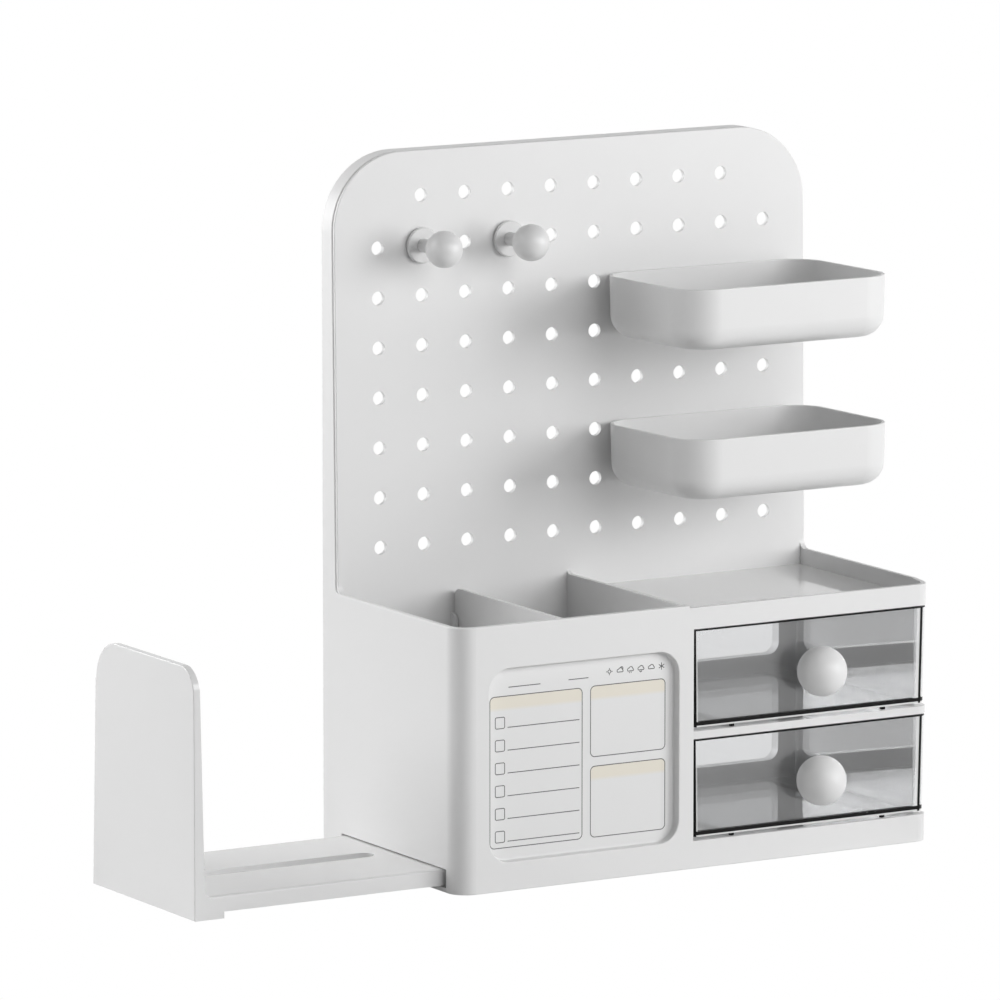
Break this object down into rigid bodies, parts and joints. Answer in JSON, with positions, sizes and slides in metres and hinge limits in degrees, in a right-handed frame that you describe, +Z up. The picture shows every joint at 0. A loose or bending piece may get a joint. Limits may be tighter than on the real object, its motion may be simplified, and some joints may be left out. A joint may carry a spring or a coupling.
{
  "type": "pegboard desk organizer",
  "caption": "Desk organizer: open pen compartments and clear drawers below a perforated peg board with plug-in trays and ball hooks, and a book end that slides out of its side.",
  "frame": {"origin": "middle of the body's base at its underside, on the surface it stands on", "axes": "+X to the user's right, +Y from the drawers' front to the rear of the peg board, +Z up"},
  "size_m": [0.4122, 0.1548, 0.351],
  "materials": {
    "white_body": "satin moulded",
    "white_board": "satin moulded",
    "white_bookend": "semi-gloss moulded",
    "white_gloss": "gloss",
    "white_tray": "satin moulded",
    "white_knob": "matte",
    "white_hook": "semi-gloss",
    "smoked_clear": "clear, lightly smoked",
    "screw_steel": "zinc plated",
    "memo_print": "printed, laminated"
  },
  "bodies": {
    "housing": {"housing_shell": "white_body", "inner_floor": "white_body", "base_cover": "white_body", "base_screws": "screw_steel", "pegboard": "white_board", "pegboard_screws": "screw_steel", "bay_partition": "white_body", "bay_side_liner": "white_gloss", "drawer_shelf": "white_body", "top_deck": "white_body", "memo_card": "memo_print"},
    "drawer_upper": {"drawer_upper": "smoked_clear", "knob_upper": "white_knob", "knob_screw_upper": "screw_steel"},
    "drawer_lower": {"drawer_lower": "smoked_clear", "knob_lower": "white_knob", "knob_screw_lower": "screw_steel"},
    "bookend": {"bookend": "white_bookend", "bookend_stop": "white_body"},
    "divider": {"pen_divider": "white_body"},
    "tray_upper": {"tray_upper": "white_tray"},
    "tray_lower": {"tray_lower": "white_tray"},
    "hook_left": {"hook_base_left": "white_hook", "hook_ball_left": "white_hook"},
    "hook_right": {"hook_base_right": "white_hook", "hook_ball_right": "white_hook"}
  },
  "joints": [
    {"name": "drawer_upper_slide", "type": "slide", "parent": "housing", "child": "drawer_upper", "axis": [0, -1, 0], "range_m": [0, 0.095]},
    {"name": "drawer_lower_slide", "type": "slide", "parent": "housing", "child": "drawer_lower", "axis": [0, -1, 0], "range_m": [0, 0.095]},
    {"name": "bookend_slide", "type": "slide", "parent": "housing", "child": "bookend", "axis": [1, 0, 0], "range_m": [0, 0.12]},
    {"name": "divider_lift", "type": "slide", "parent": "housing", "child": "divider", "axis": [0, 0, 1], "range_m": [0, 0.12]},
    {"name": "tray_upper_pull", "type": "slide", "parent": "housing", "child": "tray_upper", "axis": [0, -0.9999, 0.0157], "range_m": [0, 0.03]},
    {"name": "tray_lower_pull", "type": "slide", "parent": "housing", "child": "tray_lower", "axis": [0, -0.9999, 0.0157], "range_m": [0, 0.03]},
    {"name": "hook_left_pull", "type": "slide", "parent": "housing", "child": "hook_left", "axis": [0, -0.9999, 0.0157], "range_m": [0, 0.03]},
    {"name": "hook_right_pull", "type": "slide", "parent": "housing", "child": "hook_right", "axis": [0, -0.9999, 0.0157], "range_m": [0, 0.03]}
  ]
}
